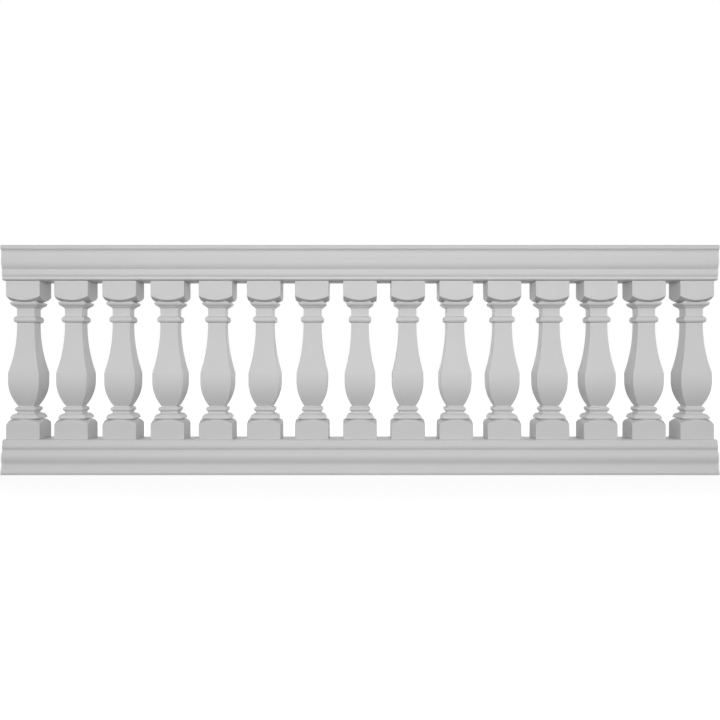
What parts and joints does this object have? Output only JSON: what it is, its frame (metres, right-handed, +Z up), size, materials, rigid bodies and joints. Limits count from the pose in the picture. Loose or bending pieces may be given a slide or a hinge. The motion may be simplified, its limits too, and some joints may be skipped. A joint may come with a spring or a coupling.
{
  "type": "fiberglass balustrade bay",
  "caption": "Classical balustrade bay: square-plan vase balusters with beads and arched blocks between a moulded handrail and a moulded bottom rail, in pale fiberglass.",
  "frame": {"origin": "centre of the base, on the deck, midway along the bay", "axes": "+X along the rails to the right, +Y to the back, +Z up"},
  "size_m": [2.854, 0.2068, 0.914],
  "materials": {
    "baluster_gelcoat": "satin pale grey-white gelcoat, softly textured, with soft sharp-cornered mouldings",
    "rail_gelcoat": "satin pale grey-white gelcoat, softly textured, run out along the length",
    "closing_board": "rolled pale gelcoat over flat laminate board",
    "end_plate": "satin pale gelcoat over flat laminate plate, with a filled bond line"
  },
  "bodies": {
    "root": {"baluster_01": "baluster_gelcoat", "baluster_02": "baluster_gelcoat", "baluster_03": "baluster_gelcoat", "baluster_04": "baluster_gelcoat", "baluster_05": "baluster_gelcoat", "baluster_06": "baluster_gelcoat", "baluster_07": "baluster_gelcoat", "baluster_08": "baluster_gelcoat", "baluster_09": "baluster_gelcoat", "baluster_10": "baluster_gelcoat", "baluster_11": "baluster_gelcoat", "baluster_12": "baluster_gelcoat", "baluster_13": "baluster_gelcoat", "baluster_14": "baluster_gelcoat", "baluster_15": "baluster_gelcoat", "top_rail": "rail_gelcoat", "top_rail_soffit": "closing_board", "top_rail_end_left": "end_plate", "top_rail_end_right": "end_plate", "bottom_rail": "rail_gelcoat", "bottom_rail_sole": "closing_board", "bottom_rail_end_left": "end_plate", "bottom_rail_end_right": "end_plate"}
  },
  "joints": []
}
